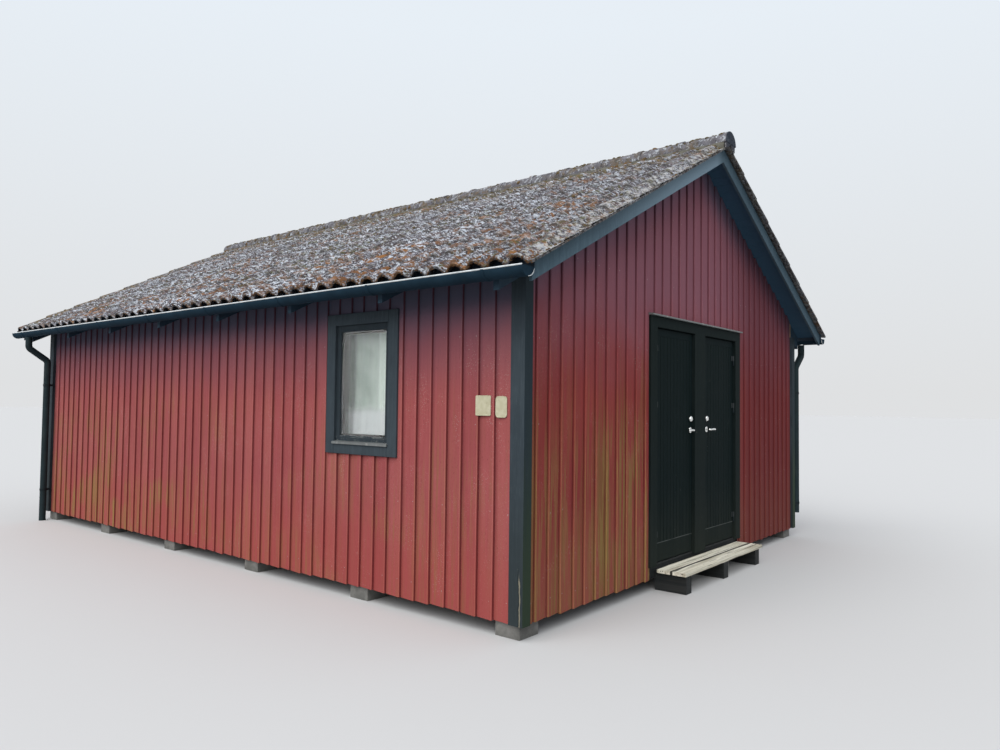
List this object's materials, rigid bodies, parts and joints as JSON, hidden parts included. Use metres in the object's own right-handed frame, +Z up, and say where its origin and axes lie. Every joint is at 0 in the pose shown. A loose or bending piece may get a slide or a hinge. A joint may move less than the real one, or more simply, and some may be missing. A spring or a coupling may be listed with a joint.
{
  "type": "boathouse",
  "caption": "Timber boathouse on concrete piers with outward-opening double doors, tiled gable roof, gutters, swan-neck downpipes and a curtained window.",
  "frame": {"origin": "centre of the bounding box at ground level", "axes": "+Z up, the doors face -Y, the ridge runs along Y"},
  "size_m": [6.022, 8.182, 3.9811],
  "materials": {
    "red_paint": "matte paint, weathered",
    "black_paint": "satin paint, weathered",
    "raw_timber": "sawn",
    "grey_timber": "weathered, bare",
    "concrete": "rough",
    "roof_tile": "rough, with lichen and moss",
    "black_metal": "satin",
    "grey_sheet": "satin",
    "steel": "satin",
    "chrome": "polished",
    "glass": "clear",
    "curtain": "woven cotton"
  },
  "bodies": {
    "house": {"piers": "concrete", "sill_beams": "black_paint", "floor_joists": "raw_timber", "floor": "raw_timber", "left_wall": "red_paint", "right_wall": "red_paint", "back_wall": "red_paint", "front_wall_left": "red_paint", "front_wall_right": "red_paint", "front_gable": "red_paint", "corner_boards": "black_paint", "rafters_left": "black_paint", "rafters_right": "black_paint", "ceiling_ties": "raw_timber", "roof_deck_left": "black_paint", "roof_deck_right": "black_paint", "roof_tiles_left": "roof_tile", "roof_tiles_right": "roof_tile", "ridge_tiles": "roof_tile", "front_bargeboards": "black_paint", "back_bargeboards": "black_paint", "gutter_left": "black_metal", "gutter_right": "black_metal", "gutter_brackets": "black_metal", "downpipes": "black_metal", "swan_necks": "black_metal", "pipe_clips": "black_metal", "door_posts": "black_paint", "door_head": "black_paint", "door_threshold": "grey_timber", "drip_strip": "black_metal", "hinge_pins": "steel", "step_planks": "grey_timber", "step_supports": "black_paint", "window_casings": "black_paint", "window_frames": "black_paint", "window_glass": "glass", "window_sills": "grey_sheet", "curtain": "curtain"},
    "left_leaf": {"left_door": "black_paint", "left_door_fittings": "chrome"},
    "right_leaf": {"right_door": "black_paint", "right_door_fittings": "chrome"},
    "left_handle": {"left_lever": "chrome"},
    "right_handle": {"right_lever": "chrome"}
  },
  "joints": [
    {"name": "left_door_hinge", "type": "hinge", "parent": "house", "child": "left_leaf", "pos_m": [-0.819, -3.784, 1.2], "axis": [0, 0, -1], "range_deg": [0, 110]},
    {"name": "right_door_hinge", "type": "hinge", "parent": "house", "child": "right_leaf", "pos_m": [0.819, -3.784, 1.2], "axis": [0, 0, 1], "range_deg": [0, 110]},
    {"name": "left_lever_turn", "type": "hinge", "parent": "left_leaf", "child": "left_handle", "pos_m": [-0.172, -3.765, 1.298], "axis": [0, -1, 0], "range_deg": [0, 40], "stiffness_Nm_per_rad": 1.5, "springref_deg": -20.05},
    {"name": "right_lever_turn", "type": "hinge", "parent": "right_leaf", "child": "right_handle", "pos_m": [0.172, -3.765, 1.298], "axis": [0, 1, 0], "range_deg": [0, 40], "stiffness_Nm_per_rad": 1.5, "springref_deg": -20.05}
  ]
}
